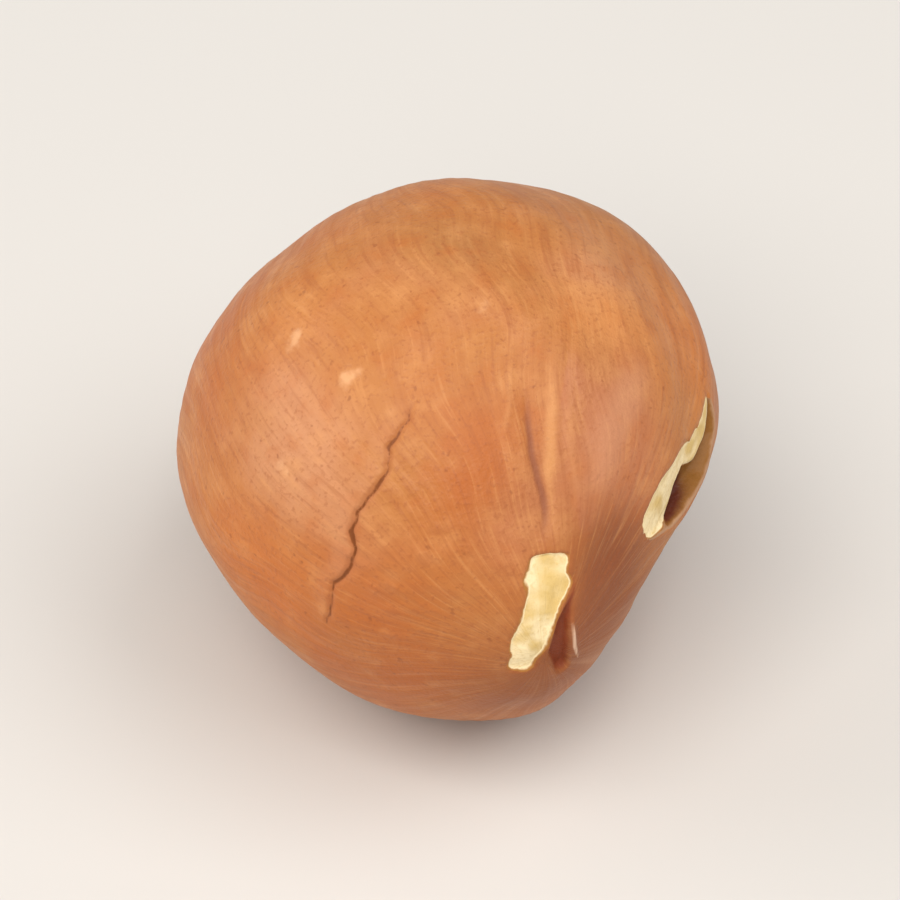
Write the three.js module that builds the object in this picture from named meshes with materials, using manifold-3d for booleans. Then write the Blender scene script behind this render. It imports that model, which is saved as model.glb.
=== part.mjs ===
// A shelled, roasted hazelnut kernel in its papery skin, lying on its side.
// Millimetres. The tip points along -Y, the base along +Y, and +Z is up as the nut lies.
// The origin is under the middle of the nut, on the surface that it rests on.
import * as THREE from "three";
import { mergeVertices } from "three/addons/utils/BufferGeometryUtils.js";
import Module from "manifold-3d";

// Driving dimensions of the kernel's body, before its swellings.
const kernelLength = 14.9;
const kernelWidth = 14.3;
const kernelHeight = 13.9;
const restSpotDepth = 0.22; // how far the underside is pressed flat where it rests

// The grid that the surface is drawn on, closest together round the tip and the front of the nut.
const meridians = 96;
const rows = 56;
const meridianCrowding = 0.4;
const crowdedRound = 0;
const rowCrowding = 0.4;

// Soft swellings and hollows of the body: where, as [degrees from the tip, degrees round the long axis],
// how far they reach in degrees, and their height as a share of the body's radius.
// Round the axis, 0 is the top, 90 is the +X side and -90 the -X side.
const bodySwellings = [
  { at: [0, 0], reach: 20, height: 0.05 }, // the blunt point at the tip
  { at: [180, 0], reach: 42, height: -0.05 }, // the flattened base
  { at: [100, 62], reach: 32, height: 0.045 }, // the full shoulder on the right
  { at: [52, 36], reach: 20, height: 0.025 }, // the smooth panel between the fold and the split
  { at: [52, 121], reach: 28, height: -0.205 }, // the hollow between the split and the tip
  { at: [66, -112], reach: 38, height: -0.065 }, // the flatter cheek on the left
  { at: [130, -37], reach: 33, height: -0.065 }, // the flattened shoulder on the left, towards the base
  { at: [26, 162], reach: 24, height: 0.04 }, // the chin under the tip
  { at: [92, 178], reach: 40, height: 0.02 }, // the underside that it rests on
];

// Shallow ribs that run from the base to the tip, as the veins of the skin do. They are low on the
// smooth cheek and stand out most on the opposite side.
const ribCount = 9;
const ribHeight = 0.1;
const ribSway = 0.5; // radians, how far the ribs wander on their way to the tip
const smoothCheekRound = -45;
const smoothCheekRibShare = 0.2;

// Routes over the skin, as [degrees from the tip, degrees round the long axis].
const foldRoute = [[72, 10], [50, 7], [34, 7], [20, 2]];
const pleatRoute = [[74, 26], [50, 15], [30, 16]];
const crackRoute = [[61, -19], [55, -30], [49, -47], [44, -58], [44, -73], [45, -91]];
const splitRoute = [[76, 74], [62, 71], [48, 67], [32, 62]];
const bareTipRoute = [[19, 8], [11, 12], [3, 10], [9, -165]];
const tipPitPlace = [9, 105];

// How wide each of them is across its route, and how far it stands out or goes in.
const foldWidth = 0.42;
const foldDepth = 0.17;
const foldRise = 0.6; // the share of its route over which a fold grows to its full height
const pleatWidth = 0.5;
const pleatHeight = 0.12;
const crackWidth = 0.42;
const crackDepth = 0.16;
const crackEndShare = 0.4; // the share of its depth that the crack still has at its ends
const splitWidth = 0.6;
const splitDepth = 0.5;
const splitLipDistance = 1.1;
const splitLipWidth = 0.4;
const farLipHeight = 0.14;
const nearLipHeight = 0.06;
const bareTipWidth = 0.5;
const bareTipDepth = 0.22;
const tipKeelWidth = 1.1;
const tipKeelHeight = 0.26;
const tipPitRadius = 0.5;
const tipPitDepth = 0.35;

// The round scar at the base, where the seed was fed.
const scarRadius = 1.7;
const scarFloorRadius = 0.7;
const scarDepth = 0.16;
const scarRimWidth = 0.5;
const scarRimHeight = 0.1;

const mergeDistance = 1e-3; // vertices of a surface that lie this close are one

const skinColour = "#cf8450";
const skinRoughness = 0.5;

const { smoothstep, lerp, clamp, degToRad, radToDeg } = THREE.MathUtils;
const halfSizes = new THREE.Vector3(kernelWidth, kernelLength, kernelHeight).multiplyScalar(0.5);
const meanRadius = (halfSizes.x + halfSizes.y + halfSizes.z) / 3;

// The unit direction that lies fromTip degrees from the tip and round degrees about the long axis.
function directionOf([fromTip, round]) {
  const across = Math.sin(degToRad(fromTip));
  return new THREE.Vector3(
    across * Math.sin(degToRad(round)),
    -Math.cos(degToRad(fromTip)),
    across * Math.cos(degToRad(round)),
  );
}

// A bell curve of height 1 that fades to about a third at width.
function bell(distance, width) {
  return Math.exp(-((distance / width) ** 2));
}

// How far over the skin a direction lies from a place, in millimetres.
function distanceFrom(place, direction) {
  return direction.angleTo(directionOf(place)) * meanRadius;
}

// Where a direction lies beside a route: its distance in millimetres over the skin, how far along the
// route its nearest point is, from 0 to 1, and its side, 1 to the left on the way along it, or -1.
function offsetFrom(route, direction) {
  const points = route.map(directionOf);
  let nearest = { distance: Infinity, along: 0, side: 1 };
  for (let i = 0; i + 1 < points.length; i++) {
    const step = new THREE.Line3(points[i], points[i + 1]);
    const share = step.closestPointToPointParameter(direction, true);
    const distance = step.at(share, new THREE.Vector3()).distanceTo(direction) * meanRadius;
    if (distance < nearest.distance) {
      const normal = new THREE.Vector3().crossVectors(points[i], points[i + 1]);
      const along = (i + share) / (points.length - 1);
      nearest = { distance, along, side: Math.sign(normal.dot(direction)) };
    }
  }
  return nearest;
}

// The body's radius as a share of its ellipsoid's, from its swellings and hollows.
function bodyShare(direction) {
  return bodySwellings.reduce((share, { at, reach, height }) => {
    const angle = direction.angleTo(directionOf(at));
    return share + height * bell(angle, degToRad(reach));
  }, 1);
}

// Soft uneven ribs, strongest round the middle and gone at the two ends.
function ribs(direction) {
  const round = Math.atan2(direction.x, direction.z);
  const girth = 1 - direction.y ** 2;
  const swayed = round + ribSway * Math.sin(2 * direction.y + round);
  const fromCheek = (1 - Math.cos(round - degToRad(smoothCheekRound))) / 2;
  const share = lerp(smoothCheekRibShare, 1, fromCheek);
  return ribHeight * share * girth * Math.cos(ribCount * swayed);
}

// A ridge along a route that rises from nothing at the route's start.
function ridgeTo(route, width, direction) {
  const { distance, along } = offsetFrom(route, direction);
  return smoothstep(along, 0, foldRise) * bell(distance, width);
}

// The crease that runs to the tip, and the pleat raised beside it.
function fold(direction) {
  const crease = foldDepth * ridgeTo(foldRoute, foldWidth, direction);
  const pleat = pleatHeight * ridgeTo(pleatRoute, pleatWidth, direction);
  return pleat - crease;
}

// The dry crack across the left cheek, a narrow groove that closes at both ends.
function crack(direction) {
  const { distance, along } = offsetFrom(crackRoute, direction);
  const share = lerp(crackEndShare, 1, Math.sin(Math.PI * along));
  return -crackDepth * share * bell(distance, crackWidth);
}

// The split on the right, where the skin has parted: widest and deepest at its middle and closed at
// both ends, with edges of skin that curl up a little, the far one most.
function split(direction) {
  const { distance, along, side } = offsetFrom(splitRoute, direction);
  const opening = Math.sin(Math.PI * along);
  const floor = splitDepth * bell(distance, splitWidth);
  const lipHeight = side > 0 ? farLipHeight : nearLipHeight;
  const lip = lipHeight * bell(distance - splitLipDistance, splitLipWidth);
  return opening * (lip - floor);
}

// The bare point of the kernel: a low keel at the tip, whose crest has lost its skin, and the small
// pit beside it where the skin has come away.
function tip(direction) {
  const { distance } = offsetFrom(bareTipRoute, direction);
  const keel = tipKeelHeight * bell(distance, tipKeelWidth);
  const bare = bareTipDepth * bell(distance, bareTipWidth);
  const pit = tipPitDepth * bell(distanceFrom(tipPitPlace, direction), tipPitRadius);
  return keel - bare - pit;
}

// The dished scar at the base inside its low rim.
function baseScar(direction) {
  const distance = distanceFrom([180, 0], direction);
  const dish = 1 - smoothstep(distance, scarFloorRadius, scarRadius);
  return scarRimHeight * bell(distance - scarRadius, scarRimWidth) - scarDepth * dish;
}

// The point of the skin in a direction from the kernel's middle.
function skinPoint(direction) {
  const body = direction.clone().multiply(halfSizes).multiplyScalar(bodyShare(direction));
  const outward = direction.clone().divide(halfSizes).normalize();
  const reliefs = [ribs, fold, crack, split, tip, baseScar];
  const relief = reliefs.reduce((height, shape) => height + shape(direction), 0);
  return body.addScaledVector(outward, relief);
}

// The direction of a vertex of a plain sphere, moved so that the grid is finer where the detail is.
function crowded(vertex) {
  const round = Math.atan2(vertex.x, vertex.z);
  const fromTip = Math.acos(clamp(-vertex.y, -1, 1));
  const newRound = round - meridianCrowding * Math.sin(round - degToRad(crowdedRound));
  const newFromTip = fromTip - rowCrowding * Math.sin(fromTip);
  return directionOf([radToDeg(newFromTip), radToDeg(newRound)]);
}

function kernelSurface() {
  const surface = new THREE.SphereGeometry(1, meridians, rows);
  const places = surface.getAttribute("position");
  const vertex = new THREE.Vector3();
  for (let i = 0; i < places.count; i++) {
    const point = skinPoint(crowded(vertex.fromBufferAttribute(places, i)));
    places.setXYZ(i, point.x, point.y, point.z);
  }
  return surface;
}

const wasm = await Module();
wasm.setup();

// A closed three.js surface as a solid that can be cut.
function solidOf(geometry) {
  const bare = geometry.clone();
  bare.deleteAttribute("normal");
  bare.deleteAttribute("uv");
  const merged = mergeVertices(bare, mergeDistance);
  return new wasm.Manifold(
    new wasm.Mesh({
      numProp: 3,
      vertProperties: new Float32Array(merged.attributes.position.array),
      triVerts: new Uint32Array(merged.index.array),
    }),
  );
}

function geometryOf(solid) {
  const { vertProperties, triVerts } = solid.getMesh();
  const geometry = new THREE.BufferGeometry();
  geometry.setAttribute("position", new THREE.BufferAttribute(vertProperties, 3));
  geometry.setIndex(new THREE.BufferAttribute(triVerts, 1));
  geometry.computeVertexNormals();
  return geometry;
}

// Cuts the small flat spot that the nut rests on, and sets that spot on the ground under its middle.
function restedKernel(surface) {
  surface.computeBoundingBox();
  const { min, max } = surface.boundingBox;
  const ground = new THREE.BoxGeometry(2 * kernelWidth, 2 * kernelLength, kernelHeight);
  ground.translate(0, 0, min.z + restSpotDepth - kernelHeight / 2);
  const geometry = geometryOf(solidOf(surface).subtract(solidOf(ground)));
  const middle = min.clone().add(max).multiplyScalar(0.5);
  return geometry.translate(-middle.x, -middle.y, -min.z - restSpotDepth);
}

const skin = new THREE.MeshStandardMaterial({ color: skinColour, roughness: skinRoughness, metalness: 0 });
const kernel = new THREE.Mesh(restedKernel(kernelSurface()), skin);
kernel.name = "hazelnut_kernel";

const hazelnut = new THREE.Group();
hazelnut.add(kernel);

export default hazelnut;
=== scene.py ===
import bpy
import numpy as np
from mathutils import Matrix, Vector


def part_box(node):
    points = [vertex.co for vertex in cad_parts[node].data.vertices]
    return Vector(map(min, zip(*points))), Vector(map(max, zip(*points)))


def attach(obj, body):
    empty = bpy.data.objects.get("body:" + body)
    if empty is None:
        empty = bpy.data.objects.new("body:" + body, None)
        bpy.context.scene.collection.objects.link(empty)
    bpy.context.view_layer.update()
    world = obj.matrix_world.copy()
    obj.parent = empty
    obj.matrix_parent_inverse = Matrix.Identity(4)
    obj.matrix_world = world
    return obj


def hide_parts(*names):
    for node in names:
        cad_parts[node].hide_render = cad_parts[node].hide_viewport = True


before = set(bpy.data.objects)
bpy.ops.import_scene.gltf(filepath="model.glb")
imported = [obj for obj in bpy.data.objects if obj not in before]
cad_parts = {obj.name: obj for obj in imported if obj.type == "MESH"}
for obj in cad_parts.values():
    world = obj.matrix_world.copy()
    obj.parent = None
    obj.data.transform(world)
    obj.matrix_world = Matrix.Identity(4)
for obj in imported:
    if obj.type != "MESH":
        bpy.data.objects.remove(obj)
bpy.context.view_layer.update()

mm = 0.001

# Places on the nut are [degrees from the tip, degrees round the long axis]. Round the axis 0 is the top,
# 90 the +X side and -90 the -X side. The tip points along -Y. Sizes are in millimetres.
kernel = {
    "node": "hazelnut_kernel",
    "length": 14.9,
    "width": 14.3,
    "height": 13.9,
    "restSpotDepth": 0.22,     # how far the underside is pressed flat
    "gridSteps": 128,          # along each edge of the cube that the skin is drawn on
    "gridCrowding": 0.42,      # how much closer the grid is round the place below
    "gridPlace": [40, 0],
    "frontPlace": [48, -17],   # the middle of the side with the crack and the fold
    "seed": 23,
    "swellings": [             # place, reach in degrees, height as a share of the radius
        ([0, 0], 20, 0.05),          # the blunt point at the tip
        ([180, 0], 42, -0.05),       # the flattened base
        ([100, 62], 32, 0.045),      # the full shoulder on the right
        ([52, 36], 20, 0.025),       # the smooth panel between the fold and the split
        ([52, 121], 28, -0.205),     # the hollow between the split and the tip
        ([66, -112], 38, -0.065),    # the flatter cheek on the left
        ([130, -37], 33, -0.065),    # the flattened shoulder on the left, towards the base
        ([26, 162], 24, 0.04),       # the chin under the tip
        ([92, 178], 40, 0.02),       # the underside that it rests on
    ],
    "ribs": {"count": 9, "height": 0.1, "sway": 0.5, "smoothCheekRound": -45, "smoothCheekShare": 0.2},
    # drawn along routes: width, height, the share of the route that they grow over, mark, strength
    "lines": [
        # the fold's valley and the pleat beside it
        ([[72, 10], [50, 7], [34, 7], [20, 2]], 0.4, -0.09, 0.6, "crease", 0.0),
        ([[74, 26], [50, 15], [36, 15]], 0.5, 0.035, 0.7, "stretch", 0.1),
        # the fold's dark crease
        ([[62, 8.4], [54.8, 7.2], [47.7, 6], [41.2, 6.2], [36.5, 7.6], [31.6, 8.4], [26, 7]],
         0.12, -0.05, 0.5, "crease", 1.0),
        # the golden streak between the crease and the panel
        ([[68, 16], [59.6, 14.4], [49.8, 12.4], [41.6, 11.1], [32.8, 10.8]],
         0.15, 0.014, 0.6, "stretch", 0.9),
        # the panel's edge and the light line inside it
        ([[66.9, 20.1], [60, 17.9], [52.3, 15.5], [45.3, 14.9], [38.4, 16.1], [31.8, 19.5], [25.4, 22.3]],
         0.13, -0.02, 0.4, "crease", 0.22),
        ([[64, 19.8], [52.3, 17.8], [45.3, 17.3], [38.4, 19.2], [31.8, 23.5]],
         0.16, 0.015, 0.5, "stretch", 0.35),
        # a light streak to the left of the fold
        ([[66, 6], [59, 4], [53, 2], [47.6, -1.2]], 0.1, 0.012, 0.4, "stretch", 0.45),
        # the panel's shine: a painted sheen, a lighter pink band in the colour
        ([[72, 40], [61, 37.5], [51, 32], [44.4, 28.7], [34, 27]], 0.55, 0.02, 0.5, "satinAndPaintedSheen", 1.0),
    ],
    "lineStray": 0.014, "lineStraySize": 0.7,
    # shares of the route: where a line would be gone, and over how much it fades towards that
    "lineEnd": 1.12, "lineFade": 0.35,
    "panel": {  # the stretched smooth skin to the right of the fold, with a crisp edge along this route
        "route": [[69, 20], [60.5, 16.8], [52.4, 14.2], [44.5, 14.6], [37, 17.5], [28.5, 21.5]],
        "edgeWidth": 0.16, "reach": 1.7, "endReach": 0.5, "rise": 0.3, "height": 0.025, "strength": 0.8,
    },
    "crack": {
        "route": [[60.8, -19.2], [57.7, -22.5], [54.8, -30.3], [51.1, -33.4], [49.7, -39.4], [48.6, -47.7],
                  [46.9, -53.8], [44.1, -57.1], [43, -65.8], [44.6, -72.9], [44, -84.2], [45, -91.1]],
        "halfWidth": 0.045, "depth": 0.09, "bluntness": 0.4, "grooveSpread": 1.4,
        "edgeRise": 0.006, "edgeDistance": 0.16, "edgeWidth": 0.1,
        # where a painted highlight lies beside the crack, and how wide it is
        "highlightDistance": 0.3, "highlightWidth": 0.3,
        "jag": 0.014, "jagSize": 0.35, "unevenness": 0.3, "unevenSize": 1.1,
    },
    "split": {
        "route": [[68, 64], [60.5, 69], [54, 70], [46, 66], [38.5, 62.5], [31.5, 61]],
        "halfWidth": 0.86, "skew": 1.5, "bluntness": 0.5,  # widest towards the tip, with a blunt lower end
        "skinStep": 0.08, "shelfDrop": 0.08, "cleftDepth": 0.36, "rag": 0.04, "ragSize": 1.1,
        # places across it as shares of the half width, from the near edge at -1 to the far edge at 1
        "nearWall": (-1.12, -0.92), "farWall": (0.6, 1.05), "shelfStart": -0.9,
        "cleftRun": 0.35, "overhang": 0.12,
        "shelfEnds": ([0, 0.2, 0.35, 0.5, 0.62, 0.78, 0.9, 1],
                      [0.2, 0.1, -0.07, -0.35, 0.0, 0.7, 0.85, 0.85]),
        "lipPlace": 1.2, "lipWidth": 0.36, "farLip": 0.12, "nearLip": 0.04, "rimWidth": 0.09,
        # shares of the route: where painted shade darkens it inside, and how far its golden end reaches
        "paintedCleftShade": (0.34, 0.7), "goldenReach": 0.4,
        "closedBelow": 0.15,  # no bare kernel shows where it is open less than this
    },
    "tip": {
        "keelRoute": [[19, 8], [11, 12], [3, 10], [9, -165]],
        "keelWidth": 1.1, "keelHeight": 0.26, "crestWidth": 0.5, "crestDepth": 0.1,
        "bareRoute": [[20.4, 9], [16.2, 8.5], [10.7, 0.8], [6.8, -13.6], [4.3, -41.7], [4, -90]],
        "bareHalfWidths": ([0, 0.2, 0.45, 0.6, 0.8, 1], [0.54, 0.58, 0.44, 0.42, 0.47, 0.36]),
        "bareCorners": (4, 2.2), "bareFlatness": (2, 1),         # how square and how flat its two ends are
        "bareStep": 0.1, "bareEdge": (-0.05, 0.06), "rag": 0.03, "ragSize": 0.6,
        "bareLumpHeight": 0.02, "bareLumpSize": 0.6, "bareLumpEdge": (0.05, 0.25),
        "goldenPlace": 0.42, "goldenReach": 0.2,
        "gapRoute": [[16.6, 27.7], [8.3, 32.3], [3.2, 81], [6, 139]], "gapRise": 0.5,
        "gapHalfWidths": ([0, 0.4, 0.75, 1], [0.03, 0.15, 0.25, 0.18]),
        "gapDepth": 0.28, "gapEdge": (-0.07, 0.12),
        "sliverRoute": [[9.4, 40], [6.4, 84], [8.4, 118]],
        "sliverHalfWidth": 0.055, "sliverBluntness": 0.5, "sliverRise": 0.09, "sliverEdge": (-0.1, 0.04),
    },
    "scar": {
        "radius": 1.7, "floorRadius": 0.7, "depth": 0.16, "rimWidth": 0.5, "rimHeight": 0.1,
        "edge": (-0.5, 0.4),
        "spokeSize": 1.6, "spokeHeight": 0.012, "spokeStray": 0.1, "spokeReach": 1.0,
        "ringWidth": 0.5, "ringStrength": 0.75, "ringUnevenness": 0.2,
    },
    "skin": {
        "lumpSize": 3.4, "lumpHeight": 0.018,
        "wanderSize": 5.0, "wander": 0.04,  # how far fibres stray from a straight run to the tip, radians
        "fibreStretch": 0.1,                # how little a fibre changes along its length
        "endGirths": (0.12, 0.5),           # shares of the full girth that veins and fibres fade between
        "veinSpacing": 1.6, "veinHeight": 0.02, "veinSeenShare": 0.15,
        "fibreSpacing": 0.42, "fibreHeight": 0.004,
        "wrinkleSize": 0.55, "wrinkleHeight": 0.006, "wrinkleStretch": [0.4, 1, 1],
        "wrinklePlace": [32, -48], "wrinkleReach": 24, "wrinkleElsewhere": 0.25,
        "stripeSize": 4.0, "hidden": (78, 120),   # degrees from the middle of the front
    },
    "tones": {  # place, reach in degrees, strength
        "orange": [([110, 85], 40, 0.5), ([20, -130], 38, 0.55), ([52, -92], 26, 0.3),
                   ([112, -60], 38, 0.5), ([39.6, -20.3], 9, 0.25), ([54, -8], 13, 0.35),
                   ([46, -12], 11, 0.25)],
        "amber": [([74, 46], 20, 0.55), ([96, -34], 16, 0.4), ([73, 26], 9, 0.8)],
        "russet": [([62, -88], 24, 0.6), ([76, 60], 17, 0.5)],
        "mauve": [([49, 31], 15, 0.9), ([36, 7], 9, 0.4), ([34, 46], 12, 0.5), ([27, -10], 10, 0.45)],
        # painted highlight: lighter peach patches, the largest on the left cheek
        "paintedHighlight": [([66, -50], 18, 0.95), ([88, -8], 24, 0.3), ([86, 36], 16, 0.6)],
        # painted shade: a darker red-brown, strongest in the hollow beside the tip and under the chin
        "umberAndPaintedShade": [([19, 66], 18, 0.75), ([12, -160], 18, 0.6), ([42, -14], 11, 0.15), ([27, 43], 9, 0.35)],
        # painted shade: the top a duskier, darker brown
        "paintedTopShade": [([91, 2.6], 11, 0.5), ([100, -14], 12, 0.3)],
        "fleck": [([86.8, -37.2], 2.4, 0.9), ([88.3, -35.2], 1.6, 0.6), ([71.3, -31.2], 2.0, 0.8),
                  ([71.7, -28.6], 2.3, 0.9), ([75.5, 3.9], 1.8, 0.7), ([73.7, 1.7], 1.4, 0.5),
                  ([80.3, 8], 1.5, 0.5), ([68.3, -55.1], 2.2, 0.5), ([65.6, -54.2], 2.0, 0.5),
                  ([63.5, -48], 1.5, 0.4)],
    },
}


# unit vectors for angles in degrees from the tip and round the long axis
def directionOf(fromTip, around):
    fromTip, around = np.radians(fromTip), np.radians(around)
    girth = np.sin(fromTip)
    return np.stack([girth * np.sin(around), -np.cos(fromTip), girth * np.cos(around)], -1)


# e to the power of minus the square of distance over width: 1 at the middle, a third at the width
def bell(distance, width):
    return np.exp(-((distance / width) ** 2))


# 0 below low, 1 above high, and 3t^2 - 2t^3 between them
def ease(value, low, high):
    share = np.clip((value - low) / (high - low), 0, 1)
    return share * share * (3 - 2 * share)


# the sum of plane waves in seeded random directions, of about the wavelength given and with a spread of 1
def waveNoise(places, wavelength, seed, count=28):
    rng = np.random.default_rng(seed)
    headings = rng.normal(size=(3, count))
    headings /= np.linalg.norm(headings, axis=0)
    rates = 2 * np.pi / (wavelength * rng.uniform(0.7, 1.5, count))
    phases = rng.uniform(0, 2 * np.pi, count)
    return np.cos(places @ (headings * rates) + phases).sum(1) * np.sqrt(2 / count)


meanRadius = (kernel["length"] + kernel["width"] + kernel["height"]) / 6


# angle from a place times the radius: millimetres over the skin
def distanceFrom(place, directions):
    return np.arccos(np.clip(directions @ directionOf(*place), -1, 1)) * meanRadius


# a bell round a place that reaches over an angle in degrees
def spot(place, reach, directions):
    return bell(distanceFrom(place, directions) / meanRadius, np.radians(reach))


# Coordinates beside a route: across is the distance from it in millimetres, positive to the left on the way
# along it, along runs from 0 to 1, and past is how far beyond either end a point lies, in millimetres.
def beside(route, directions):
    points = directionOf(*np.array(route, float).T)
    lengths = np.linalg.norm(np.diff(points, axis=0), axis=1)
    starts = np.concatenate([[0], np.cumsum(lengths)])
    nearest = np.full(len(directions), np.inf)
    across, along, past = np.zeros_like(nearest), np.zeros_like(nearest), np.zeros_like(nearest)
    for i, (start, end) in enumerate(zip(points[:-1], points[1:])):
        step = end - start
        share = (directions - start) @ step / (step @ step)
        held = np.clip(share, 0, 1)
        distance = np.linalg.norm(directions - start - held[:, None] * step, axis=1)
        side = directions @ (np.cross(start, end) / np.linalg.norm(np.cross(start, end)))
        beyond = ((share < 0) & (i == 0)) | ((share > 1) & (i == len(lengths) - 1))
        nearer = distance < nearest
        nearest = np.where(nearer, distance, nearest)
        across = np.where(nearer, np.where(beyond, side, np.sign(side) * distance), across)
        along = np.where(nearer, (starts[i] + held * lengths[i]) / starts[-1], along)
        past = np.where(nearer, np.where(beyond, np.abs(share - held) * lengths[i], 0), past)
    return across * meanRadius, along, past * meanRadius


# half a sine over the route
def opening(along):
    return np.sin(np.pi * along)


# Six square grids, the sides of a cube, whose points are pushed out to a ball at even angles. Points that
# two sides share are one. The grid is then drawn to one place: each direction plus a share of that place's.
def ballGrid(shape):
    steps = shape["gridSteps"]
    u, v = np.meshgrid(np.arange(steps + 1), np.arange(steps + 1), indexing="ij")
    corners = np.arange((steps + 1) ** 2).reshape(steps + 1, steps + 1)
    quads = np.stack([corners[:-1, :-1], corners[1:, :-1], corners[1:, 1:], corners[:-1, 1:]], -1)
    quads = quads.reshape(-1, 4)
    lattice, faces = [], []
    for axis in range(3):
        for end in (0, steps):
            side = np.insert(np.stack([u.ravel(), v.ravel()], 1), axis, end, axis=1)
            outward = (end > 0) == (axis != 1)
            faces.append((quads if outward else quads[:, ::-1]) + len(lattice) * len(side))
            lattice.append(side)
    points, index = np.unique(np.concatenate(lattice), axis=0, return_inverse=True)
    directions = np.tan(np.pi / 4 * (2 * points / steps - 1))
    directions /= np.linalg.norm(directions, axis=1, keepdims=True)
    directions += shape["gridCrowding"] * directionOf(*shape["gridPlace"])
    directions /= np.linalg.norm(directions, axis=1, keepdims=True)
    return directions, index.ravel()[np.concatenate(faces)]


# Where each direction lies: its angles, millimetres on a ball, and fibre coordinates on a cylinder round the
# long axis that wanders a little, so that patterns on them run from base to tip.
def skinPlaces(shape, directions):
    skin = shape["skin"]
    around = np.arctan2(directions[:, 0], directions[:, 2])
    fromTip = np.arccos(np.clip(-directions[:, 1], -1, 1))
    places = directions * meanRadius
    turn = around + skin["wander"] * waveNoise(places, skin["wanderSize"], shape["seed"])
    fromFront = np.degrees(distanceFrom(shape["frontPlace"], directions) / meanRadius)
    return {
        "directions": directions, "around": around, "places": places, "girth": np.sin(fromTip) ** 2,
        "fibre": meanRadius * np.stack([np.sin(turn), np.cos(turn), skin["fibreStretch"] * fromTip], 1),
        "hidden": ease(fromFront, *skin["hidden"]),
    }


# height times a cosine of the swayed angle round the axis, low on the smooth cheek and gone at both ends
def ribRelief(shape, at):
    ribs = shape["ribs"]
    swayed = at["around"] + ribs["sway"] * np.sin(2 * at["directions"][:, 1] + at["around"])
    fromCheek = (1 - np.cos(at["around"] - np.radians(ribs["smoothCheekRound"]))) / 2
    share = ribs["smoothCheekShare"] + (1 - ribs["smoothCheekShare"]) * fromCheek
    return ribs["height"] * share * at["girth"] * np.cos(ribs["count"] * swayed)


# each line is a bell across its route that grows from nothing and fades towards the end
def lineRelief(shape, at):
    relief = np.zeros(len(at["places"]))
    marks = {"crease": relief.copy(), "stretch": relief.copy(), "satinAndPaintedSheen": relief.copy()}
    stray = shape["lineStray"] * waveNoise(at["places"], shape["lineStraySize"], shape["seed"] + 10)
    for route, width, height, rise, mark, strength in shape["lines"]:
        across, along, past = beside(route, at["directions"])
        across = across + stray
        line = ease(along, 0, rise) * ease(shape["lineEnd"] - along, 0, shape["lineFade"])
        line = line * bell(np.hypot(across, past), width)
        relief += height * line
        marks[mark] += strength * line
    return relief, marks


# a step up at the route's line, times a bell that falls away on the step's higher side
def panelRelief(shape, at):
    panel = shape["panel"]
    across, along, past = beside(panel["route"], at["directions"])
    stray = waveNoise(at["places"], shape["lineStraySize"], shape["seed"] + 13)
    across = across + shape["lineStray"] * stray
    raised = ease(across, 0, panel["edgeWidth"]) * bell(across, panel["reach"])
    raised = raised * bell(past, panel["endReach"]) * ease(along, 0, panel["rise"])
    return panel["height"] * raised, {"mauve": panel["strength"] * raised}


# a jagged bell-shaped groove, half a sine to a power deep along the route, with two low bells for its edges
def crackRelief(shape, at):
    crack = shape["crack"]
    across, along, past = beside(crack["route"], at["directions"])
    across = across + crack["jag"] * waveNoise(at["places"], crack["jagSize"], shape["seed"] + 1)
    uneven = 1 + crack["unevenness"] * waveNoise(at["places"], crack["unevenSize"], shape["seed"] + 11)
    openShare = opening(along) ** crack["bluntness"] * (past == 0)
    half = crack["halfWidth"] * openShare * uneven
    groove = crack["depth"] * bell(across, crack["grooveSpread"] * crack["halfWidth"])
    edges = crack["edgeRise"] * bell(np.abs(across) - crack["edgeDistance"], crack["edgeWidth"])
    inside = np.where(past == 0, half, -1) - np.abs(across)
    # a painted highlight: a lighter bell beside the crack
    paintedCrackHighlight = openShare * bell(across + crack["highlightDistance"], crack["highlightWidth"])
    return openShare * (edges - groove), {"crack": inside, "paintedCrackHighlight": paintedCrackHighlight}


# Across the split: a step down from the skin to a pale shelf, a cleft beyond it and a curled lip on the far
# side. It is closed at both ends: half a sine of the way along it to a power.
def splitRelief(shape, at):
    split = shape["split"]
    across, along, past = beside(split["route"], at["directions"])
    across = across + split["rag"] * waveNoise(at["places"], split["ragSize"], shape["seed"] + 2)
    openShare = opening(along ** split["skew"]) ** split["bluntness"] * (past == 0)
    half = split["halfWidth"] * openShare + 1e-6   # never nothing, because it divides
    place = across / half
    shelfEnd = np.interp(along, *split["shelfEnds"])
    within = ease(place, *split["nearWall"]) * (1 - ease(place, *split["farWall"]))
    profile = split["skinStep"] + split["shelfDrop"] * ease(place, split["shelfStart"], shelfEnd)
    profile = profile + split["cleftDepth"] * ease(place, shelfEnd, shelfEnd + split["cleftRun"])
    lipHeight = np.where(across > 0, split["farLip"], split["nearLip"])
    lip = lipHeight * bell(np.abs(across) - split["lipPlace"] * half, split["lipWidth"])
    closed = openShare < split["closedBelow"]
    bareEnd = shelfEnd + split["overhang"]
    marks = {
        "bare": np.where(closed, -1, np.minimum(place + 1, bareEnd - place) * half),
        "gap": np.where(closed, -1, np.minimum(place - bareEnd, 1 - place) * half),
        "lip": np.where(closed, -1, np.minimum(across, half + split["rimWidth"] - across)),
        # painted shade inside the split, growing along the route
        "paintedCleftShade": ease(along, *split["paintedCleftShade"]),
        "golden": np.where(past > 0, 0, bell(along, split["goldenReach"])),
    }
    return openShare * (lip - within * profile), marks


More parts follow.
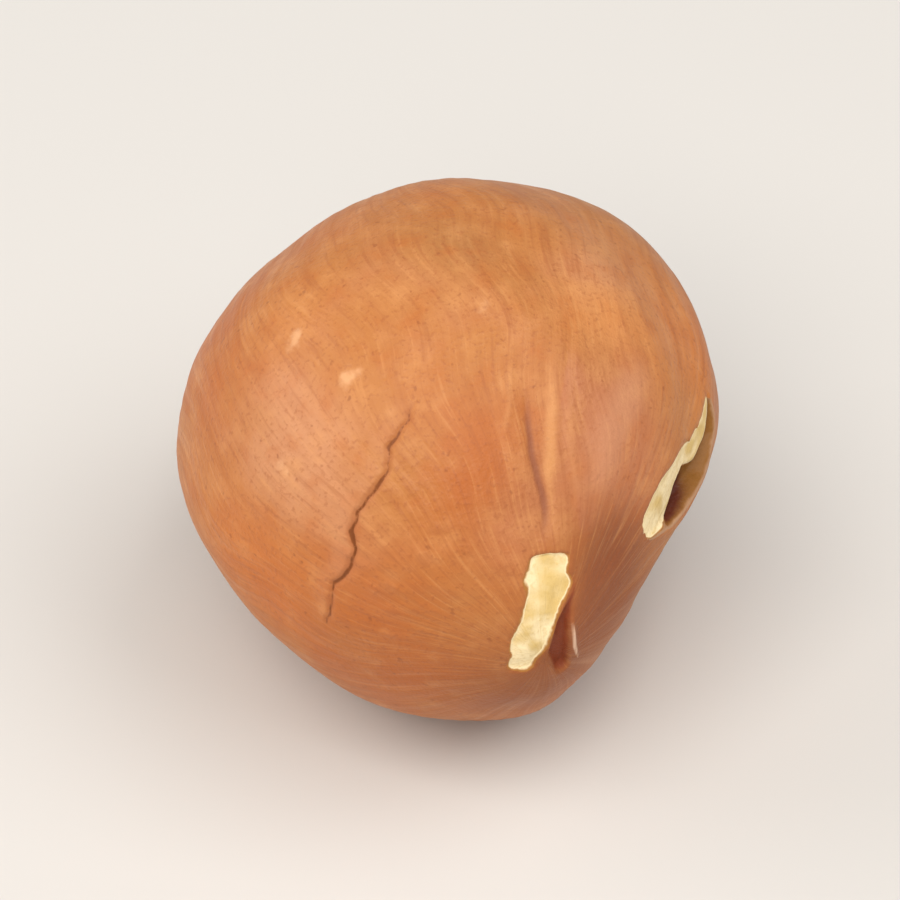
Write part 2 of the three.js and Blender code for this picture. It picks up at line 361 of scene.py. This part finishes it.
# A keel, which is a bell across its route, with a narrower bell worn off its crest. On it a strip where the
# skin is gone is a step down inside a rounded outline. Beside it are a gap and the raised edge of its skin.
def tipRelief(shape, at):
    tip = shape["tip"]
    across, along, past = beside(tip["keelRoute"], at["directions"])
    distance = np.hypot(across, past)
    relief = tip["keelHeight"] * bell(distance, tip["keelWidth"])
    relief -= tip["crestDepth"] * bell(distance, tip["crestWidth"])
    across, along, past = beside(tip["bareRoute"], at["directions"])
    ragged = tip["rag"] * waveNoise(at["places"], tip["ragSize"], shape["seed"] + 3)
    square = np.where(along < 0.5, *tip["bareCorners"])
    flat = np.where(along < 0.5, *tip["bareFlatness"])
    reach = (np.abs(across) ** square + (flat * past) ** square) ** (1 / square)
    bare = np.interp(along, *tip["bareHalfWidths"]) - reach + ragged
    golden = bell(along - tip["goldenPlace"], tip["goldenReach"])
    lumps = tip["bareLumpHeight"] * waveNoise(at["places"], tip["bareLumpSize"], shape["seed"] + 12)
    relief -= tip["bareStep"] * ease(bare, *tip["bareEdge"]) + lumps * ease(bare, *tip["bareLumpEdge"])
    across, along, past = beside(tip["gapRoute"], at["directions"])
    gap = np.interp(along, *tip["gapHalfWidths"]) - np.hypot(across, past)
    relief -= tip["gapDepth"] * ease(along, 0, tip["gapRise"]) * ease(gap, *tip["gapEdge"])
    across, along, past = beside(tip["sliverRoute"], at["directions"])
    rim = tip["sliverHalfWidth"] * opening(along) ** tip["sliverBluntness"] - np.hypot(across, past)
    relief += tip["sliverRise"] * ease(rim, *tip["sliverEdge"])
    return relief, {"bare": bare, "golden": golden, "tipGap": gap, "sliver": rim}


# an eased dish less deep towards its edge, a bell for the rim, and wave noise round the axis for the spokes
def scarRelief(shape, at):
    scar = shape["scar"]
    distance = distanceFrom([180, 0], at["directions"])
    circle = np.stack([np.sin(at["around"]), np.cos(at["around"]), 0 * distance], 1) * meanRadius
    spokes = waveNoise(circle, scar["spokeSize"], shape["seed"] + 4)
    dish = 1 - ease(distance, scar["floorRadius"], scar["radius"])
    relief = scar["rimHeight"] * bell(distance - scar["radius"], scar["rimWidth"]) - scar["depth"] * dish
    relief += scar["spokeHeight"] * spokes * bell(distance - scar["radius"], scar["spokeReach"])
    inside = scar["radius"] + scar["spokeStray"] * spokes - distance
    ring = bell(inside, scar["ringWidth"]) * (scar["ringStrength"] + scar["ringUnevenness"] * spokes)
    return relief, {"scar": ease(inside, *scar["edge"]), "scarRing": ring}


# Soft lumps, veins and fibres from base to tip, short wrinkles across them on the cheek under the crack, and
# bands on the hidden side; each is wave noise on the nut's or the fibres' own coordinates.
def paperyRelief(shape, at):
    skin, seed = shape["skin"], shape["seed"]
    ends = ease(np.sqrt(at["girth"]), *skin["endGirths"])
    vein = 1 - np.clip(np.abs(waveNoise(at["fibre"], 2 * skin["veinSpacing"], seed + 5)), 0, 1)
    vein = vein ** 2 * ends * (skin["veinSeenShare"] + (1 - skin["veinSeenShare"]) * at["hidden"])
    wrinkles = waveNoise(at["places"] * skin["wrinkleStretch"], skin["wrinkleSize"], seed + 6)
    cheek = spot(skin["wrinklePlace"], skin["wrinkleReach"], at["directions"])
    wrinkles *= skin["wrinkleElsewhere"] + (1 - skin["wrinkleElsewhere"]) * cheek
    relief = skin["lumpHeight"] * waveNoise(at["places"], skin["lumpSize"], seed + 7)
    relief += skin["veinHeight"] * vein + skin["wrinkleHeight"] * wrinkles
    relief += skin["fibreHeight"] * ends * waveNoise(at["fibre"], skin["fibreSpacing"], seed + 8)
    stripe = waveNoise(at["fibre"], skin["stripeSize"], seed + 9) * at["hidden"] * ends
    return relief, {"vein": vein, "wrinkle": wrinkles, "stripe": stripe, "hidden": at["hidden"] * ends}


# The skin's points: an ellipsoid times a share for its swellings, plus the relief along its outward
# direction. The nut is set on the ground, pressed flat there, and fitted to the box of the frame's node.
def kernelSurface(shape):
    directions, faces = ballGrid(shape)
    at = skinPlaces(shape, directions)
    halfSizes = np.array([shape["width"], shape["length"], shape["height"]]) / 2
    share = 1 + sum(height * spot(place, reach, directions) for place, reach, height in shape["swellings"])
    relief = ribRelief(shape, at)
    marks = {"fibre": at["fibre"]}
    for name, spots in shape["tones"].items():
        marks[name] = sum(strength * spot(place, reach, directions) for place, reach, strength in spots)
    for part in (lineRelief, panelRelief, crackRelief, splitRelief, tipRelief, scarRelief, paperyRelief):
        partRelief, partMarks = part(shape, at)
        relief = relief + partRelief
        for name, values in partMarks.items():
            marks[name] = np.maximum(marks[name], values) if name in marks else values
    outward = directions / halfSizes
    outward /= np.linalg.norm(outward, axis=1, keepdims=True)
    points = directions * halfSizes * share[:, None] + outward * relief[:, None]
    low, high = points.min(0), points.max(0)
    points -= [(low[0] + high[0]) / 2, (low[1] + high[1]) / 2, low[2] + shape["restSpotDepth"]]
    points[:, 2] = np.maximum(points[:, 2], 0)
    frameLow, frameHigh = (np.array(corner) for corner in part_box(shape["node"]))
    low, high = points.min(0), points.max(0)
    points = frameLow + (points - low) / (high - low) * (frameHigh - frameLow)
    return points, faces, marks


# a smooth mesh at the origin, with each mark as an attribute of its points
def meshPiece(name, points, faces, marks, finish):
    mesh = bpy.data.meshes.new(name)
    mesh.from_pydata(points.tolist(), [], faces.tolist())
    for markName, values in marks.items():
        kind = "FLOAT" if values.ndim == 1 else "FLOAT_VECTOR"
        layer = mesh.attributes.new(markName, kind, "POINT")
        layer.data.foreach_set("value" if values.ndim == 1 else "vector", values.astype(np.float32).ravel())
    mesh.polygons.foreach_set("use_smooth", np.ones(len(faces), bool))
    mesh.materials.append(finish)
    mesh.validate()
    piece = bpy.data.objects.new(name, mesh)
    bpy.context.scene.collection.objects.link(piece)
    return piece


# sRGB hex to linear colour: a straight piece near black, a power of 2.4 above it
def linear(hexColour):
    parts = np.array([int(hexColour[i:i + 2], 16) / 255 for i in (1, 3, 5)])
    parts = np.where(parts <= 0.04045, parts / 12.92, ((parts + 0.055) / 1.055) ** 2.4)
    return [*parts.tolist(), 1.0]


# adds a node and gives one of its outputs: settings are its properties, inputs are values or sockets
def addNode(tree, kind, settings, inputs, output=0):
    made = tree.nodes.new("ShaderNode" + kind)
    for name, value in settings.items():
        setattr(made, name, value)
    for name, value in inputs.items():
        if isinstance(value, bpy.types.NodeSocket):
            tree.links.new(value, made.inputs[name])
        else:
            made.inputs[name].default_value = value
    return made.outputs[output]


# Roasted hazelnut skin (the seed coat, dried on the kernel): thin and papery, orange-brown with faint fibres
# from base to tip, a satin shine from the nut's oil, and cream kernel where it has come away.
# Its colour also carries painted shade, painted highlights and a painted sheen.
skinFinish = {
    # the skin: its plain colour, broad tones, fibres and marks, among them painted shade, painted highlights
    # and a painted sheen; one dark brown colours the specks, the scar's ring and painted shade
    "tan": "#bc7942", "orange": "#b8652d", "amber": "#d0894f", "russet": "#d07430", "mauve": "#b97551",
    "satinAndPaintedSheen": "#d29874", "paintedHighlight": "#cc8f66", "umberAndPaintedShade": "#84472a", "paintedTopShade": "#ab784a", "fleck": "#e8b282",
    "darkFibre": "#a05a34", "lightFibre": "#dc9c62", "vein": "#9c5233", "wrinkle": "#a86238",
    "crease": "#8f553e", "crack": "#80451e", "lip": "#b48c6c", "sliver": "#e6bfa2",
    "gold": "#cf8436", "backBrown": "#a2684a", "scar": "#a9784e",
    # the bare kernel and the hollows; the darkest is painted shade in the split's cleft
    "cream": "#fbe6b8", "butter": "#dab76c", "toastedEdge": "#b07638",
    "hollowGold": "#8f5f28", "paintedHollowShade": "#5c2614", "redGap": "#8c4326",
    # sizes of the patterns; fibres and grain are drawn coarser than they are, so that they show
    "blotchSize": 2.6, "mottleSize": 0.8, "butterSize": 0.8, "fibreWidth": 0.45, "fineFibreWidth": 0.16,
    "edgeRagSize": 0.3, "edgeRag": 0.015, "speckSize": 0.2, "grainSize": 0.12,
    "noiseMiddle": (0.3, 0.7),                   # most values of a noise lie between these
    "bareEdgeWidth": 0.08,
    # values that another one breaks up: which, the other, the share of the other that is added
    "breakUps": [
        ("crack", "edgeRag", 1), ("bare", "edgeRag", 2), ("gap", "edgeRag", 1), ("tipGap", "edgeRag", 1),
        ("orange", "blotch", 1.2), ("paintedHighlight", "blotch", 1.2), ("fleck", "rag", 1.6),
        ("stripe", "blotch", 0.6), ("stripe", "streak", 1.0), ("butter", "golden", 0.22),
    ],
    # values kept to a region: new name, which, where
    "keptTo": [
        # the second is the split's gap, kept to where painted shade darkens it
        ("backStreak", "streak", "hidden"), ("paintedGapShade", "gap", "paintedCleftShade"),
        ("bareButter", "butter", "bareShare"), ("bareGrain", "grain", "bareShare"),
        ("bareStreak", "streak", "bareShare"),
    ],
    # layers from the plain skin up: what is read, where it starts, where it is full, how much shows, colour
    "layers": [
        ("orange", 0.55, 1.5, 1.0, "orange"), ("amber", 0.0, 1.0, 0.9, "amber"),
        ("russet", 0.0, 1.0, 0.9, "russet"), ("mauve", 0.0, 1.0, 0.9, "mauve"),
        # a painted highlight, then painted shade on the top
        ("paintedHighlight", 0.65, 1.5, 0.9, "paintedHighlight"), ("paintedTopShade", 0.0, 1.0, 0.8, "paintedTopShade"),
        ("scar", 0.0, 1.0, 0.65, "scar"), ("scarRing", 0.0, 1.0, 0.4, "umberAndPaintedShade"),
        ("mottle", 0.48, 0.75, 0.4, "orange"), ("mottle", 0.5, 0.25, 0.3, "lightFibre"),
        # painted shade
        ("umberAndPaintedShade", 0.0, 1.0, 0.9, "umberAndPaintedShade"),
        ("stripe", 0.4, -0.7, 0.5, "backBrown"), ("stripe", 1.1, 2.3, 0.8, "gold"),
        ("backStreak", 0.45, 0.8, 0.35, "vein"),
        ("streak", 0.52, 0.78, 0.25, "darkFibre"), ("streak", 0.46, 0.22, 0.22, "lightFibre"),
        ("fineStreak", 0.52, 0.75, 0.35, "darkFibre"), ("fineStreak", 0.46, 0.25, 0.25, "lightFibre"),
        ("grain", 0.52, 0.75, 0.4, "darkFibre"), ("speck", 0.68, 0.8, 0.4, "umberAndPaintedShade"),
        ("vein", 0.2, 1.0, 0.5, "vein"), ("wrinkle", 0.6, 1.8, 0.3, "wrinkle"),
        ("stretch", 0.0, 1.0, 0.6, "lightFibre"), ("crease", 0.1, 1.0, 0.75, "crease"),
        # a painted sheen over the panel
        ("satinAndPaintedSheen", 0.0, 1.0, 0.42, "satinAndPaintedSheen"), ("fleck", 1.1, 2.1, 0.65, "fleck"),
        # a painted highlight beside the crack, in the sheen's colour
        ("paintedCrackHighlight", 0.0, 1.0, 0.16, "satinAndPaintedSheen"),
        ("crack", -0.15, 0.0, 0.4, "wrinkle"), ("crack", -0.02, 0.025, 0.9, "crack"),
        ("lip", -0.02, 0.02, 0.9, "lip"), ("tipGap", -0.03, 0.05, 1.0, "redGap"),
        ("bare", -0.03, 0.0, 1.0, "toastedEdge"), ("bare", 0.01, 0.06, 1.0, "cream"),
        ("bareGrain", 0.48, 0.7, 0.35, "butter"), ("bareStreak", 0.5, 0.7, 0.4, "butter"),
        ("bareButter", 0.5, 0.78, 0.85, "butter"),
        # the split's inside: golden, then painted shade where it lies deep
        ("gap", -0.03, 0.05, 1.0, "hollowGold"), ("paintedGapShade", 0.0, 0.12, 1.0, "paintedHollowShade"),
        ("sliver", -0.02, 0.03, 0.9, "sliver"),
    ],
    "roughness": 0.46, "glossier": 0.05, "duller": 0.07,  # how far fibres depart from the skin's roughness
    "bareRoughness": 0.6, "ior": 1.46, "shine": 0.28,
    "bumpHeight": 0.035, "bumpStrength": 0.6, "fineBumpShare": 0.6,
}


# colour is a stack of mixes, one for each layer; roughness follows the fibres; bump sums three patterns
def roastedSkin(look, markNames):
    material = bpy.data.materials.new("roastedHazelnutSkin")
    material.use_nodes = True
    tree = material.node_tree
    shader = tree.nodes["Principled BSDF"]
    shader.inputs["IOR"].default_value = look["ior"]
    shader.inputs["Specular IOR Level"].default_value = look["shine"]

    metres = addNode(tree, "TexCoord", {}, {}, "Object")
    place = addNode(tree, "VectorMath", {"operation": "SCALE"}, {0: metres, "Scale": 1 / mm})
    fibre = addNode(tree, "Attribute", {"attribute_name": "fibre"}, {}, "Vector")
    read = {}
    for name in markNames:
        read[name] = addNode(tree, "Attribute", {"attribute_name": name}, {}, "Fac")

    # patterns: coordinates, size in millimetres, detail
    patterns = {
        "blotch": (place, look["blotchSize"], 3), "mottle": (place, look["mottleSize"], 3),
        "streak": (fibre, look["fibreWidth"], 4), "fineStreak": (fibre, look["fineFibreWidth"], 2),
        "grain": (place, look["grainSize"], 2), "speck": (place, look["speckSize"], 1),
        "rag": (place, look["edgeRagSize"], 2), "butter": (place, look["butterSize"], 1),
    }
    for name, (coordinates, size, detail) in patterns.items():
        read[name] = addNode(tree, "TexNoise", {},
                             {"Vector": coordinates, "Scale": 1 / size, "Detail": detail})

    low, high = look["noiseMiddle"]
    read["edgeRag"] = addNode(tree, "MapRange", {},
                              {"Value": read["rag"], "From Min": low, "From Max": high,
                               "To Min": -look["edgeRag"], "To Max": look["edgeRag"]})
    for name, pattern, share in look["breakUps"]:
        read[name] = addNode(tree, "Math", {"operation": "MULTIPLY_ADD"},
                             {0: read[pattern], 1: share, 2: read[name]})
    read["bareShare"] = addNode(tree, "MapRange", {},
                                {"Value": read["bare"], "From Max": look["bareEdgeWidth"]})
    for name, pattern, where in look["keptTo"]:
        read[name] = addNode(tree, "Math", {"operation": "MULTIPLY"}, {0: read[pattern], 1: read[where]})

    colour = linear(look["tan"])
    for name, start, full, most, over in look["layers"]:
        share = addNode(tree, "MapRange", {"interpolation_type": "SMOOTHSTEP"},
                        {"Value": read[name], "From Min": start, "From Max": full, "To Max": most})
        # 6, 7 and 2 are the colour sockets of a Mix node
        colour = addNode(tree, "Mix", {"data_type": "RGBA"},
                         {0: share, 6: colour, 7: linear(look[over])}, 2)
    tree.links.new(colour, shader.inputs["Base Color"])

    # the skin's real satin: a roughness that follows the fibres
    satinAndPaintedSheen = addNode(tree, "MapRange", {}, {"Value": read["streak"], "From Min": low, "From Max": high,
                                           "To Min": look["roughness"] - look["glossier"],
                                           "To Max": look["roughness"] + look["duller"]})
    rough = addNode(tree, "Mix", {}, {0: read["bareShare"], 2: satinAndPaintedSheen, 3: look["bareRoughness"]})
    tree.links.new(rough, shader.inputs["Roughness"])

    height = addNode(tree, "Math", {"operation": "MULTIPLY_ADD"},
                     {0: read["fineStreak"], 1: look["fineBumpShare"], 2: read["grain"]})
    height = addNode(tree, "Math", {"operation": "ADD"}, {0: height, 1: read["streak"]})
    bump = addNode(tree, "Bump", {}, {"Height": height, "Strength": look["bumpStrength"],
                                      "Distance": look["bumpHeight"] * mm})
    tree.links.new(bump, shader.inputs["Normal"])
    return material


points, faces, marks = kernelSurface(kernel)
print("kernel surface:", len(points), "points,", 2 * len(faces), "triangles")
markNames = [name for name, values in marks.items() if values.ndim == 1]
nut = meshPiece("hazelnut", points, faces, marks, roastedSkin(skinFinish, markNames))
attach(nut, "root")
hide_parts(kernel["node"])
print("nut made and placed")

# Matt painted board: plain and pale, with no gloss to catch the eye.
floor = {"half": 1.2, "colour": "#d6d4d1", "roughness": 0.7}


# one square face, half its width each way from the origin, in metres
def paleFloor(look):
    half = look["half"]
    corners = np.array([[-half, -half, 0], [half, -half, 0], [half, half, 0], [-half, half, 0]])
    material = bpy.data.materials.new("paleMattBoard")
    material.use_nodes = True
    shader = material.node_tree.nodes["Principled BSDF"]
    shader.inputs["Base Color"].default_value = linear(look["colour"])
    shader.inputs["Roughness"].default_value = look["roughness"]
    return meshPiece("floor", corners, np.array([[0, 1, 2, 3]]), {}, material)


paleFloor(floor)

lights = {
    "sky": ("#f6f5f3", 0.3),
    "areas": [  # name, azimuth, elevation, distance in metres, width in metres, watts, colour
        ("key", -42, 56, 0.34, 0.24, 0.85, "#fff9f2"),
        ("window", -118, 24, 0.36, 0.24, 0.5, "#fffbf6"),
        ("fill", 52, 60, 0.4, 0.3, 0.88, "#fffcf8"),
    ],
}
camera = {
    "azimuth": -18, "elevation": 45, "lens": 300, "sensor": 36, "clip": (0.005, 20),
    "fill": 0.64,                  # the share of the picture's width that the nut's length takes
    "aim": (-0.21, 0.12, 6.95),    # millimetres
}


# the direction towards a light or camera that stands at an azimuth and elevation in degrees
def towards(azimuth, elevation):
    a, e = np.radians(azimuth), np.radians(elevation)
    return Vector((np.sin(a) * np.cos(e), -np.cos(a) * np.cos(e), np.sin(e)))


# an even sky and soft square lamps, each at its distance from the nut and facing it
def studioLight(look, aim):
    world = bpy.data.worlds.new("studio")
    world.use_nodes = True
    sky = world.node_tree.nodes["Background"]
    sky.inputs["Color"].default_value = linear(look["sky"][0])
    sky.inputs["Strength"].default_value = look["sky"][1]
    bpy.context.scene.world = world
    for name, azimuth, elevation, distance, width, watts, colour in look["areas"]:
        lamp = bpy.data.lights.new(name, "AREA")
        lamp.size = width
        lamp.energy = watts
        lamp.color = linear(colour)[:3]
        holder = bpy.data.objects.new(name, lamp)
        back = towards(azimuth, elevation)
        holder.location = aim + back * distance
        holder.rotation_euler = back.to_track_quat("Z", "Y").to_euler()
        bpy.context.scene.collection.objects.link(holder)


# stands so far back that the nut's length fills its share of the picture's width
def photoCamera(look, aim):
    lens = bpy.data.cameras.new("camera")
    lens.lens = look["lens"]
    lens.sensor_width = look["sensor"]
    lens.clip_start, lens.clip_end = look["clip"]
    holder = bpy.data.objects.new("camera", lens)
    back = towards(look["azimuth"], look["elevation"])
    across = kernel["length"] * mm / look["fill"]
    holder.location = aim + back * (across * look["lens"] / look["sensor"])
    holder.rotation_euler = back.to_track_quat("Z", "Y").to_euler()
    bpy.context.scene.collection.objects.link(holder)
    bpy.context.scene.camera = holder


aim = Vector(camera["aim"]) * mm
studioLight(lights, aim)
photoCamera(camera, aim)
bpy.context.scene.view_settings.view_transform = "Standard"
print("floor, light and camera set")
